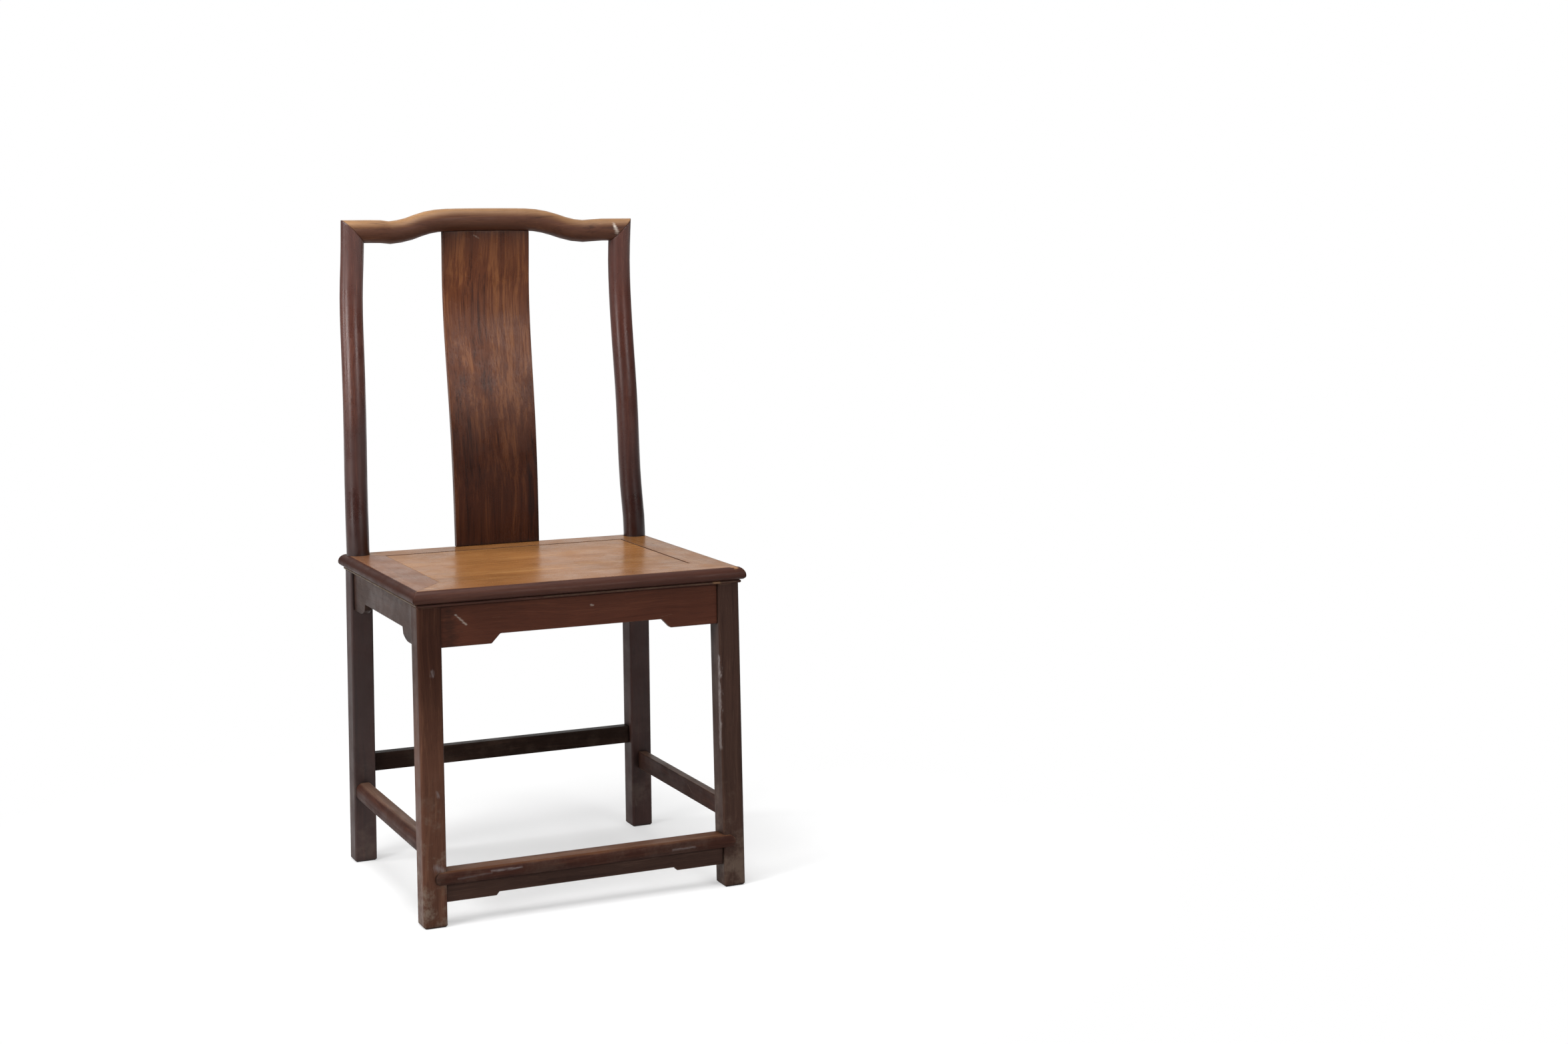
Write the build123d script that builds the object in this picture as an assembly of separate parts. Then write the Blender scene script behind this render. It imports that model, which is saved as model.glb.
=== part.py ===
"""Official's hat chair, the kind without arms, in frame-and-panel joinery.

Four leaning legs carry a mitred seat frame with a floating panel. The rear legs run on through
the frame's back corners as round, bowed posts, and a crest rail mitred onto them holds the top
of a curved splat. Aprons are housed in the legs under the seat, and stretchers at rising heights
tie the legs together near the floor.

Millimetres, +Z up, the sitter faces -Y. Left and right are as seen from the front, so the right
side is +X. Pieces are made about the middle of the seat and then set back so that the origin is on
the floor under the middle of the chair's whole depth.
"""

from build123d import *
from math import sqrt
import os

# Seat frame
SEAT_HEIGHT = 485.0
SEAT_WIDTH = 508.0
SEAT_DEPTH = 410.0
SEAT_THICKNESS = 24.0
SIDE_RAIL_WIDTH = 60.0
FRONT_RAIL_WIDTH = 72.0
BACK_RAIL_WIDTH = 55.0

# Moulded edge of the seat frame, from the nose inwards and from the top down
SHOULDER_RUN = 11.0
NOSE_DROP = 14.0
BEAD_RADIUS = 2.3
QUIRK = 0.8  # sunk line above the bead
BEAD_PROUD = 1.2  # of the legs' outer faces

# Floating panel and the two battens dovetailed across its underside
PANEL_REVEAL = 0.4  # the field lies this far below the frame's top
PANEL_GAP = 0.9  # shadow line round the field
GROOVE_RISE = 12.5  # groove above the frame's underside
GROOVE_HEIGHT = 5.6
GROOVE_DEPTH = 7.0
TONGUE_PLAY = 1.0  # left at the bottom of the groove for the panel to swell
BATTEN_SPACING = 180.0
BATTEN_WIDTH = 30.0
DOVETAIL_NECK = 14.0
DOVETAIL_FLARE = 2.0  # on each side
DOVETAIL_DEPTH = 4.0

# Legs
LEG_WIDTH = 34.5
LEG_INSET = 8.0  # outer faces behind the seat's nose
SPLAY_SIDE = 4.0
SPLAY_FORE_AFT = 8.0
LEG_OUTER_ROUND = 6.0
LEG_ROUND = 3.0
FOOT_EASE = 2.5

# Rear posts above the seat, round like the crest rail: each pair is a share of the height up to
# the crest's corner, and how far the post is set back there
POST_DIAMETER = 35.0
POST_STRAIGHT = 6.0
POST_LEAN_IN = 11.0
POST_CURVE = ((0.14, 6.5), (0.43, 13.0), (0.62, 21.0), (0.82, 27.0))
POST_TIP_BACK = 18.0
POST_TIP_LEAN = 0.13  # forwards, in each unit of height
POST_TIP_RUN = 23.0  # straight end below the crest's corner
POST_CLEARANCE = 0.5  # between a post and a rail's blind tenon

# Crest rail: each pair is a distance from the middle and the rise of its centre line over its ends
CREST_END_RISE = 494.0  # centre line at the corners, above the seat
CREST_BOW = 20.0
CREST_CURVE = ((160.0, -2.0), (131.0, 2.0), (108.0, 9.5), (84.0, 15.0), (46.0, 17.0), (0.0, 17.2))

# Splat: each pair is a share of its height and its set-back from the foot
SPLAT_FOOT_WIDTH = 137.0
SPLAT_HEAD_WIDTH = 141.0
SPLAT_THICKNESS = 10.0
SPLAT_FOOT_INSET = 12.0  # middle of the splat in front of the seat's back edge
SPLAT_CURVE = ((0.0, 0.0), (0.14, 1.0), (0.28, 4.0), (0.43, 10.5), (0.62, 22.5), (0.82, 29.5), (1.0, 26.0))
SPLAT_TENON_MARGIN = 12.0

# Aprons under the seat
APRON_THICKNESS = 10.0
APRON_INSET = 5.0  # behind the legs' outer faces
APRON_END_DEPTH = 59.5
FRONT_APRON_DEPTH = 46.0
FRONT_STEP_X = 137.0
FRONT_STEP_RUN = 13.0
SIDE_APRON_DEPTH = 41.5
SIDE_STEP_Y = 101.0
SIDE_STEP_RUN = 3.0
SIDE_STEP_DROP = 9.5
SIDE_CUSP_RUN = 27.0
BACK_APRON_DEPTH = 41.5
APRON_TONGUE = 3.5
APRON_TONGUE_THICKNESS = 4.0
HOUSING_DEPTH = 5.0

# Stretchers
FRONT_STRETCHER_TOP = 81.0
FRONT_STRETCHER_HEIGHT = 20.0
FRONT_STRETCHER_DEPTH = 30.0
FRONT_NOSE_PROUD = 5.0  # of the front legs' faces
FRONT_NOSE_RUN = 6.0
LAP_REACH = 17.0  # of the nose over the front of each leg
FOOT_APRON_THICKNESS = 9.0
FOOT_APRON_END_DEPTH = 26.0
FOOT_APRON_DEPTH = 21.0
FOOT_STEP_X = 140.0
FOOT_STEP_RUN = 4.0
SIDE_STRETCHER_TOP = 127.5
SIDE_STRETCHER_HEIGHT = 27.5
SIDE_STRETCHER_WIDTH = 20.5
SIDE_STRETCHER_INSET = 2.5  # nose behind the legs' outer faces
SIDE_STRETCHER_FLAT = 11.0
SIDE_STRETCHER_TUCK = 5.0
BACK_STRETCHER_TOP = 169.5
BACK_STRETCHER_HEIGHT = 28.0
BACK_STRETCHER_THICKNESS = 18.0
BACK_STRETCHER_INSET = 6.0
STRETCHER_EASE = 1.5

# Joints
FIT = 0.15  # all round a tenon
TENON_LENGTH = 19.0
TENON_THICKNESS = 10.0
TENON_SHOULDER = 4.5  # above and below a stretcher's tenon
RAIL_TENON_RISE = 5.0  # above the seat frame's underside
RAIL_TENON_HEIGHT = 6.0
RAIL_TENON_COVER = 13.0  # wood left outside the blind mortise
RAIL_TENON_MARGIN = 2.0
LEG_TENON = 8.0
LEG_TENON_SHIFT = 7.5  # from the leg's middle, across the seat frame's mitre
LONG_TENON_HEIGHT = 16.0
SHORT_TENON_HEIGHT = 9.0
BATTEN_TENON_LENGTH = 10.0
BATTEN_TENON_MARGIN = 5.0
SPLAT_TENON_THICKNESS = 6.0
SPLAT_TENON_LENGTH = 12.0
SPLAT_TENON_ROOT = 3.0  # inside the splat, below the crest's lowest part
CREST_TENON_WIDTH = 10.0
CREST_TENON_DEPTH = 14.0
CREST_TENON_RISE = 12.0
CREST_TENON_ROOT = 15.0  # below the corner, inside the post

# Places worked out from the sizes above
HALF_WIDTH = SEAT_WIDTH / 2
HALF_DEPTH = SEAT_DEPTH / 2
SEAT_BOTTOM = SEAT_HEIGHT - SEAT_THICKNESS
OPENING_X = HALF_WIDTH - SIDE_RAIL_WIDTH
OPENING_FRONT = FRONT_RAIL_WIDTH - HALF_DEPTH
OPENING_BACK = HALF_DEPTH - BACK_RAIL_WIDTH
PANEL_BOTTOM = SEAT_BOTTOM + GROOVE_RISE + FIT
LEG_FACE_X = HALF_WIDTH - LEG_INSET
LEG_FACE_Y = HALF_DEPTH - LEG_INSET
LEG_X = LEG_FACE_X - LEG_WIDTH / 2
LEG_Y = LEG_FACE_Y - LEG_WIDTH / 2
CORNER = Vector(LEG_X - POST_LEAN_IN, LEG_Y + POST_TIP_BACK, SEAT_HEIGHT + CREST_END_RISE)
FOOT_APRON_TOP = FRONT_STRETCHER_TOP - FRONT_STRETCHER_HEIGHT
CREST_BACK = CORNER.Y + CREST_BOW + POST_DIAMETER / 2
CREST_STATIONS = 24  # steps that the crest rail is lofted in
POST_STATIONS = 18  # steps that each post is lofted in
REACH = 60.0  # how far cutting bodies run past what they cut


def block(x, y, z, grow=0.0):
    """Box between two limits on each axis, swollen by grow on every face."""
    limits = (x, y, z)
    size = [high - low + 2 * grow for low, high in limits]
    middle = [(high + low) / 2 for low, high in limits]
    return Pos(*middle) * Box(*size)


def quarter_round(start, corner, end):
    """Arc from start to end that rounds their corner as a quarter of an ellipse would."""
    start, corner, end = Vector(*start), Vector(*corner), Vector(*end)
    middle = corner + (start + end - corner * 2) * (1 - sqrt(0.5))
    return ThreePointArc(start, middle, end)


def bar_along(line, section, stations):
    """Bar through equal cross-sections at even steps of a line, each upright across it."""
    sections = []
    for station in range(stations + 1):
        share = station / stations
        along = line % share
        across = along.cross(Vector(0, 0, 1)) if abs(along.X) > abs(along.Z) else Vector(1, 0, 0)
        sections.append(Plane(line @ share, x_dir=across, z_dir=along) * section)
    return loft(sections, ruled=True), sections


def prism(outline, travel):
    """Prism that a flat outline sweeps on a straight travel."""
    return Solid.extrude(outline.face(), Vector(*travel))


def plan_prism(points, low, high):
    """Upright prism on a plan outline."""
    outline = make_face(Polyline(*points, close=True))
    return prism(Pos(0, 0, low) * outline, (0, 0, high - low))


def face_at(height):
    """Distances of the legs' outer faces from the middle, sideways and fore and aft."""
    share = (SEAT_BOTTOM - height) / SEAT_BOTTOM
    return LEG_FACE_X + SPLAY_SIDE * share, LEG_FACE_Y + SPLAY_FORE_AFT * share


def mirrored(shape):
    return mirror(shape, about=Plane.YZ)


def both_sides(shape):
    return shape + mirrored(shape)


# Seat frame


def rail_section(width):
    """Rail's cross-section: x runs inwards from the nose, y up from the underside."""
    nose = SEAT_THICKNESS - NOSE_DROP
    bead_x = LEG_INSET - BEAD_PROUD + BEAD_RADIUS
    bead_top = 2 * BEAD_RADIUS
    outline = [
        Line((width, 0), (width, SEAT_THICKNESS)),
        Line((width, SEAT_THICKNESS), (SHOULDER_RUN, SEAT_THICKNESS)),
        quarter_round((SHOULDER_RUN, SEAT_THICKNESS), (0, SEAT_THICKNESS), (0, nose)),
        quarter_round((0, nose), (0, bead_top + QUIRK), (bead_x, bead_top + QUIRK)),
        Line((bead_x, bead_top + QUIRK), (bead_x, bead_top)),
        ThreePointArc((bead_x, bead_top), (bead_x - BEAD_RADIUS, BEAD_RADIUS), (bead_x, 0)),
        Line((bead_x, 0), (width, 0)),
    ]
    return make_face(outline)


def rail_bar(outward, nose, length, width):
    """Unmitred rail whose moulded edge faces outward, at a distance nose from the middle."""
    inward = outward * -1
    along = inward.cross(Vector(0, 0, 1))
    start = outward * nose - along * (length / 2) + Vector(0, 0, SEAT_BOTTOM)
    return prism(Plane(start, x_dir=inward, z_dir=along) * rail_section(width), along * length)


def end_region(end):
    """Plan between the mitres of the front rail, end -1, or the back rail, end 1."""
    inner = OPENING_FRONT if end < 0 else OPENING_BACK
    outer = end * HALF_DEPTH
    points = [(-HALF_WIDTH, outer), (HALF_WIDTH, outer), (OPENING_X, inner), (-OPENING_X, inner)]
    return plan_prism(points, SEAT_BOTTOM, SEAT_HEIGHT)


def side_region():
    """Plan between the mitres of the right rail."""
    points = [
        (HALF_WIDTH, -HALF_DEPTH),
        (HALF_WIDTH, HALF_DEPTH),
        (OPENING_X, OPENING_BACK),
        (OPENING_X, OPENING_FRONT),
    ]
    return plan_prism(points, SEAT_BOTTOM, SEAT_HEIGHT)


def rail_tenon(end, grow=0.0):
    """Blind tenon of the front or back rail into the right rail, inside the leg or post."""
    if end < 0:
        y = (FIT - LEG_Y + LEG_WIDTH / 2, OPENING_FRONT - RAIL_TENON_MARGIN)
    else:
        y = (OPENING_BACK + RAIL_TENON_MARGIN, LEG_Y - POST_DIAMETER / 2 - POST_CLEARANCE)
    x = (OPENING_X - RAIL_TENON_MARGIN, HALF_WIDTH - RAIL_TENON_COVER)
    low = SEAT_BOTTOM + RAIL_TENON_RISE
    return block(x, y, (low, low + RAIL_TENON_HEIGHT), grow)


def panel_plate(spread, low, high):
    """Plate of the seat opening's plan, spread past its edges on all sides."""
    x = (-OPENING_X - spread, OPENING_X + spread)
    y = (OPENING_FRONT - spread, OPENING_BACK + spread)
    return block(x, y, (low, high))


def panel_groove():
    low = SEAT_BOTTOM + GROOVE_RISE
    return panel_plate(GROOVE_DEPTH, low, low + GROOVE_HEIGHT)


def post_hole():
    """Hole for the right post, through the mitred back corner."""
    hole = Cylinder(POST_DIAMETER / 2 + FIT, SEAT_THICKNESS + REACH)
    return Pos(LEG_X, LEG_Y, SEAT_BOTTOM) * hole


def leg_tenons(grow=0.0):
    """Long tenon of the right front leg into the front rail, and its short one into the side."""
    tenons = []
    for shift, height in ((-LEG_TENON_SHIFT, LONG_TENON_HEIGHT), (LEG_TENON_SHIFT, SHORT_TENON_HEIGHT)):
        x, y = LEG_X + shift, shift - LEG_Y
        half = LEG_TENON / 2
        limits = (x - half, x + half), (y - half, y + half), (SEAT_BOTTOM, SEAT_BOTTOM + height)
        tenons.append(block(*limits, grow))
    return tenons[0] + tenons[1]


def batten_tenons(grow=0.0):
    """Tenons of the right batten into the front and back rails, as one bar."""
    half = BATTEN_WIDTH / 2 - BATTEN_TENON_MARGIN
    x = (BATTEN_SPACING / 2 - half, BATTEN_SPACING / 2 + half)
    y = (OPENING_FRONT - BATTEN_TENON_LENGTH, OPENING_BACK + BATTEN_TENON_LENGTH)
    low = SEAT_BOTTOM + RAIL_TENON_RISE
    return block(x, y, (low, low + RAIL_TENON_HEIGHT), grow)


def splat_foot_tenon(grow=0.0):
    half = SPLAT_FOOT_WIDTH / 2 - SPLAT_TENON_MARGIN
    middle = HALF_DEPTH - SPLAT_FOOT_INSET
    y = (middle - SPLAT_TENON_THICKNESS / 2, middle + SPLAT_TENON_THICKNESS / 2)
    return block((-half, half), y, (SEAT_HEIGHT - SPLAT_TENON_LENGTH, SEAT_HEIGHT + FIT), grow)


def end_apron_tongue(end, grow=0.0):
    """Tongue on the top edge of the front or back apron."""
    half = LEG_FACE_X - LEG_WIDTH - FIT
    middle = end * (LEG_FACE_Y - APRON_INSET - APRON_THICKNESS / 2)
    y = (middle - APRON_TONGUE_THICKNESS / 2, middle + APRON_TONGUE_THICKNESS / 2)
    return block((-half, half), y, (SEAT_BOTTOM - FIT, SEAT_BOTTOM + APRON_TONGUE), grow)


def side_apron_tongue(grow=0.0):
    """Tongue on the top edge of the right apron."""
    half = LEG_FACE_Y - LEG_WIDTH - FIT
    middle = LEG_FACE_X - APRON_INSET - APRON_THICKNESS / 2
    x = (middle - APRON_TONGUE_THICKNESS / 2, middle + APRON_TONGUE_THICKNESS / 2)
    return block(x, (-half, half), (SEAT_BOTTOM - FIT, SEAT_BOTTOM + APRON_TONGUE), grow)


def end_rail(end):
    """Front or back rail, with tenons at both mitres."""
    width = FRONT_RAIL_WIDTH if end < 0 else BACK_RAIL_WIDTH
    rail = rail_bar(Vector(0, end, 0), HALF_DEPTH, SEAT_WIDTH, width) & end_region(end)
    rail = rail + rail_tenon(end) + mirrored(rail_tenon(end))
    rail -= panel_groove()
    rail -= end_apron_tongue(end, FIT)
    rail -= batten_tenons(FIT) + mirrored(batten_tenons(FIT))
    if end < 0:
        return rail - leg_tenons(FIT) - mirrored(leg_tenons(FIT))
    return rail - post_hole() - mirrored(post_hole()) - splat_foot_tenon(FIT)


def right_rail():
    rail = rail_bar(Vector(1, 0, 0), HALF_WIDTH, SEAT_DEPTH, SIDE_RAIL_WIDTH) & side_region()
    rail -= rail_tenon(-1, FIT) + rail_tenon(1, FIT)
    rail -= panel_groove()
    rail -= side_apron_tongue(FIT)
    return rail - leg_tenons(FIT) - post_hole()


def batten_section(grow=0.0):
    """Right batten's cross-section: a flat bar with a dovetailed rib on top."""
    top = PANEL_BOTTOM + DOVETAIL_DEPTH + grow
    neck, head = DOVETAIL_NECK / 2 + grow, DOVETAIL_NECK / 2 + DOVETAIL_FLARE + grow
    half = BATTEN_WIDTH / 2
    points = [
        (-half, SEAT_BOTTOM),
        (half, SEAT_BOTTOM),
        (half, PANEL_BOTTOM),
        (neck, PANEL_BOTTOM),
        (head, top),
        (-head, top),
        (-neck, PANEL_BOTTOM),
        (-half, PANEL_BOTTOM),
    ]
    outline = Plane.XZ * make_face(Polyline(*points, close=True))
    return Pos(BATTEN_SPACING / 2, 0, 0) * outline


def batten_bar(front, back, grow=0.0):
    return prism(Pos(0, front, 0) * batten_section(grow), (0, back - front, 0))


def right_batten():
    return batten_bar(OPENING_FRONT + FIT, OPENING_BACK - FIT) + batten_tenons()


def seat_panel():
    """Board with a raised field, tongued all round and grooved below for the battens."""
    low = SEAT_BOTTOM + GROOVE_RISE + FIT
    high = SEAT_BOTTOM + GROOVE_RISE + GROOVE_HEIGHT - FIT
    panel = panel_plate(GROOVE_DEPTH - TONGUE_PLAY, low, high)
    panel += panel_plate(-PANEL_GAP, low, SEAT_HEIGHT - PANEL_REVEAL)
    slot = batten_bar(OPENING_FRONT - REACH, OPENING_BACK + REACH, FIT)
    return panel - slot - mirrored(slot)


# Legs, posts and crest


def leg_bar(end):
    """Leaning square bar of the right front leg, end -1, or the right rear leg, end 1."""
    foot = Vector(LEG_X + SPLAY_SIDE, end * (LEG_Y + SPLAY_FORE_AFT), 0)
    top = Vector(LEG_X, end * LEG_Y, SEAT_BOTTOM)
    corners = Rectangle(LEG_WIDTH, LEG_WIDTH).vertices().sort_by(lambda v: v.X + end * v.Y)
    section = fillet(corners[:-1], LEG_ROUND)
    outer = section.vertices().sort_by(lambda v: v.X + end * v.Y)[-1]
    bar = prism(Pos(foot) * fillet(outer, LEG_OUTER_ROUND), top - foot)
    return chamfer(bar.faces().sort_by(Axis.Z)[0].edges(), FOOT_EASE)


def crest_line():
    """Crest rail's bowed and risen centre line between its straight ends, right to left."""
    outward = Vector(1, -POST_TIP_LEAN, 0)
    first_x = CREST_CURVE[0][0]
    start_x = (first_x + CORNER.X) / 2
    start = CORNER + outward * (start_x - CORNER.X)
    bow = CORNER.Y + CREST_BOW - start.Y
    right = [start]
    for x, rise in CREST_CURVE:
        set_back = bow * (1 - (x / start_x) ** 2)
        right.append(Vector(x, start.Y + set_back, CORNER.Z + rise))
    left = [Vector(-p.X, p.Y, p.Z) for p in right[-2::-1]]
    return Spline(*right, *left, tangents=[outward * -1, Vector(-1, -POST_TIP_LEAN, 0)])


def mitre_plane():
    """Right corner's mitre, facing up and inwards onto the crest's side."""
    return Plane(CORNER, x_dir=(0, 1, 0), z_dir=(-1, 0, 1))


def corner_tenon(grow=0.0):
    """Stub tenon that the right post sends up into the crest."""
    x = (CORNER.X - CREST_TENON_WIDTH / 2, CORNER.X + CREST_TENON_WIDTH / 2)
    y = (CORNER.Y - CREST_TENON_DEPTH / 2, CORNER.Y + CREST_TENON_DEPTH / 2)
    return block(x, y, (CORNER.Z - CREST_TENON_ROOT, CORNER.Z + CREST_TENON_RISE), grow)


def crest_bar():
    """Round bar of the crest rail, mitred at both ends."""
    bar, sections = bar_along(crest_line(), Circle(POST_DIAMETER / 2), CREST_STATIONS)
    bar += both_sides(extrude(sections[0], -REACH))
    bar = split(bar, bisect_by=mitre_plane(), keep=Keep.TOP)
    return mirrored(split(mirrored(bar), bisect_by=mitre_plane(), keep=Keep.TOP))


def post_line():
    """Right post's centre line above the seat: bowed back, leaning in, straight at the tip."""
    tip = Vector(0, -POST_TIP_LEAN, 1)
    points = [Vector(LEG_X, LEG_Y, SEAT_HEIGHT + POST_STRAIGHT)]
    for share, set_back in POST_CURVE:
        x = LEG_X - POST_LEAN_IN * share
        points.append(Vector(x, LEG_Y + set_back, SEAT_HEIGHT + CREST_END_RISE * share))
    points.append(CORNER - tip * POST_TIP_RUN)
    return Spline(*points, tangents=[Vector(0, 0, 1), tip])


def post_bar():
    """Round post, upright through the seat frame and mitred at its tip."""
    bar, sections = bar_along(post_line(), Circle(POST_DIAMETER / 2), POST_STATIONS)
    bar += extrude(sections[0], SEAT_BOTTOM - SEAT_HEIGHT - POST_STRAIGHT)
    bar += extrude(sections[-1], REACH)
    return split(bar, bisect_by=mitre_plane(), keep=Keep.BOTTOM)


def crest_rail():
    """Crest rail, mortised for both posts and the splat."""
    return crest_bar() - corner_tenon(FIT) - mirrored(corner_tenon(FIT)) - splat_head_tenon(FIT)


# Splat


def splat_line(shift):
    """Side curve of the splat, shifted fore or aft, from the seat to inside the crest."""
    head = CORNER.Z + CREST_CURVE[-1][1] - SEAT_HEIGHT - POST_DIAMETER / 2
    foot_y = HALF_DEPTH - SPLAT_FOOT_INSET + shift
    points = [(foot_y + set_back, SEAT_HEIGHT + head * share) for share, set_back in SPLAT_CURVE]
    tip = (points[-1][0], points[-1][1] + SPLAT_TENON_LENGTH / 2)
    return Spline(*points, tip)


def splat_head_tenon(grow=0.0):
    half = SPLAT_HEAD_WIDTH / 2 - SPLAT_TENON_MARGIN
    middle = HALF_DEPTH - SPLAT_FOOT_INSET + SPLAT_CURVE[-1][1]
    y = (middle - SPLAT_TENON_THICKNESS / 2, middle + SPLAT_TENON_THICKNESS / 2)
    underside = CORNER.Z + CREST_CURVE[-1][1] - POST_DIAMETER / 2
    z = (underside - SPLAT_TENON_ROOT, underside + SPLAT_TENON_LENGTH)
    return block((-half, half), y, z, grow)


def back_splat():
    """Splat, coped at its head to the round of the crest."""
    front = splat_line(-SPLAT_THICKNESS / 2)
    back = splat_line(SPLAT_THICKNESS / 2)
    ends = [Line(front @ 0, back @ 0), Line(front @ 1, back @ 1)]
    side = Plane.YZ * make_face([front, back, *ends])
    board = extrude(side, SPLAT_HEAD_WIDTH, both=True)
    top = (front @ 1).Y
    foot, head = SPLAT_FOOT_WIDTH / 2, SPLAT_HEAD_WIDTH / 2
    taper = Polyline((-foot, SEAT_HEIGHT), (foot, SEAT_HEIGHT), (head, top), (-head, top), close=True)
    board &= extrude(Plane.XZ * make_face(taper), SEAT_DEPTH, both=True)
    return board - crest_bar() + splat_foot_tenon() + splat_head_tenon()


# Aprons


def stepped_board(half, low_end, low_middle, top, step, run):
    """Front view of a board whose bottom edge steps up between its ends."""
    points = [
        (-half, top),
        (half, top),
        (half, low_end),
        (step, low_end),
        (step - run, low_middle),
        (run - step, low_middle),
        (-step, low_end),
        (-half, low_end),
    ]
    return Plane.XZ * make_face(Polyline(*points, close=True))


def end_apron(end):
    """Front apron, with stepped ends, or the straight back apron."""
    half = LEG_FACE_X - LEG_WIDTH + HOUSING_DEPTH
    face = LEG_FACE_Y - APRON_INSET
    if end < 0:
        low_end = SEAT_BOTTOM - APRON_END_DEPTH
        low = SEAT_BOTTOM - FRONT_APRON_DEPTH
        outline = stepped_board(half, low_end, low, SEAT_BOTTOM, FRONT_STEP_X, FRONT_STEP_RUN)
        board = prism(Pos(0, -face, 0) * outline, (0, APRON_THICKNESS, 0))
    else:
        z = (SEAT_BOTTOM - BACK_APRON_DEPTH, SEAT_BOTTOM)
        board = block((-half, half), (face - APRON_THICKNESS, face), z)
    return board + end_apron_tongue(end)


def right_apron():
    """Side apron: its bottom edge drops in a steep step and a cusp towards each leg."""
    half = LEG_FACE_Y - LEG_WIDTH + HOUSING_DEPTH
    face = LEG_FACE_X - APRON_INSET
    low = SEAT_BOTTOM - SIDE_APRON_DEPTH
    low_end = SEAT_BOTTOM - APRON_END_DEPTH
    step = (SIDE_STEP_Y + SIDE_STEP_RUN, low - SIDE_STEP_DROP)
    cusp = (SIDE_STEP_Y + SIDE_STEP_RUN + SIDE_CUSP_RUN, low_end)
    outline = [
        Line((0, SEAT_BOTTOM), (half, SEAT_BOTTOM)),
        Line((half, SEAT_BOTTOM), (half, low_end)),
        Line((half, low_end), cusp),
        TangentArc(cusp, step, tangent=(-1, 0)),
        Line(step, (SIDE_STEP_Y, low)),
        Line((SIDE_STEP_Y, low), (0, low)),
        Line((0, low), (0, SEAT_BOTTOM)),
    ]
    side = Plane.YZ * make_face(outline)
    back_half = prism(Pos(face, 0, 0) * side, (-APRON_THICKNESS, 0, 0))
    return back_half + mirror(back_half, about=Plane.XZ) + side_apron_tongue()


# Stretchers


def stretcher_tenon(x, y, top, height, grow=0.0):
    """Bar that runs the stretcher's whole length and ends as its tenon in each leg."""
    return block(x, y, (top - height + TENON_SHOULDER, top - TENON_SHOULDER), grow)


def cross_tenon(end, top, height, face, depth, grow=0.0):
    """Tenon bar of a stretcher that runs from side to side."""
    half = face_at(top)[0] - LEG_WIDTH + TENON_LENGTH
    middle = end * (face - depth / 2)
    y = (middle - TENON_THICKNESS / 2, middle + TENON_THICKNESS / 2)
    return stretcher_tenon((-half, half), y, top, height, grow)


def front_tenon(grow=0.0):
    face = face_at(FRONT_STRETCHER_TOP)[1] + FRONT_NOSE_PROUD
    limits = (-1, FRONT_STRETCHER_TOP, FRONT_STRETCHER_HEIGHT, face, FRONT_STRETCHER_DEPTH)
    return cross_tenon(*limits, grow)


def back_tenon(grow=0.0):
    face = face_at(BACK_STRETCHER_TOP)[1] - BACK_STRETCHER_INSET
    limits = (1, BACK_STRETCHER_TOP, BACK_STRETCHER_HEIGHT, face, BACK_STRETCHER_THICKNESS)
    return cross_tenon(*limits, grow)


def side_tenon(grow=0.0):
    """Tenon bar of the right stretcher, which runs from front to back."""
    face, reach = face_at(SIDE_STRETCHER_TOP)
    half = reach - LEG_WIDTH + TENON_LENGTH
    middle = face - SIDE_STRETCHER_INSET - SIDE_STRETCHER_WIDTH / 2
    x = (middle - TENON_THICKNESS / 2, middle + TENON_THICKNESS / 2)
    return stretcher_tenon(x, (-half, half), SIDE_STRETCHER_TOP, SIDE_STRETCHER_HEIGHT, grow)


def front_stretcher():
    """Footrest: its rounded nose laps over the front of both legs and ends in round tips."""
    face_x, face_y = face_at(FRONT_STRETCHER_TOP)
    nose = -face_y - FRONT_NOSE_PROUD
    back = nose + FRONT_STRETCHER_DEPTH
    high, low = FRONT_STRETCHER_TOP, FRONT_STRETCHER_TOP - FRONT_STRETCHER_HEIGHT
    middle, shoulder = (high + low) / 2, nose + FRONT_NOSE_RUN
    outline = [
        Line((back, low), (back, high)),
        Line((back, high), (shoulder, high)),
        quarter_round((shoulder, high), (nose, high), (nose, middle)),
        quarter_round((nose, middle), (nose, low), (shoulder, low)),
        Line((shoulder, low), (back, low)),
    ]
    half = face_x - LEG_WIDTH + LAP_REACH
    bar = extrude(Plane.YZ * make_face(outline), half, both=True)
    tips = Pos(0, middle) * SlotOverall(2 * half, FRONT_STRETCHER_HEIGHT)
    bar &= extrude(Plane.XZ * tips, SEAT_DEPTH, both=True)
    return bar - both_sides(leg_bar(-1)) + front_tenon()


def front_stretcher_apron():
    """Thin stepped board under the footrest, housed in the legs at its ends."""
    half = face_at(FOOT_APRON_TOP)[0] - LEG_WIDTH + HOUSING_DEPTH
    face = face_at(FOOT_APRON_TOP)[1] - APRON_INSET
    low_end, low = FOOT_APRON_TOP - FOOT_APRON_END_DEPTH, FOOT_APRON_TOP - FOOT_APRON_DEPTH
    outline = stepped_board(half, low_end, low, FOOT_APRON_TOP, FOOT_STEP_X, FOOT_STEP_RUN)
    return prism(Pos(0, -face, 0) * outline, (0, FOOT_APRON_THICKNESS, 0))


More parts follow.
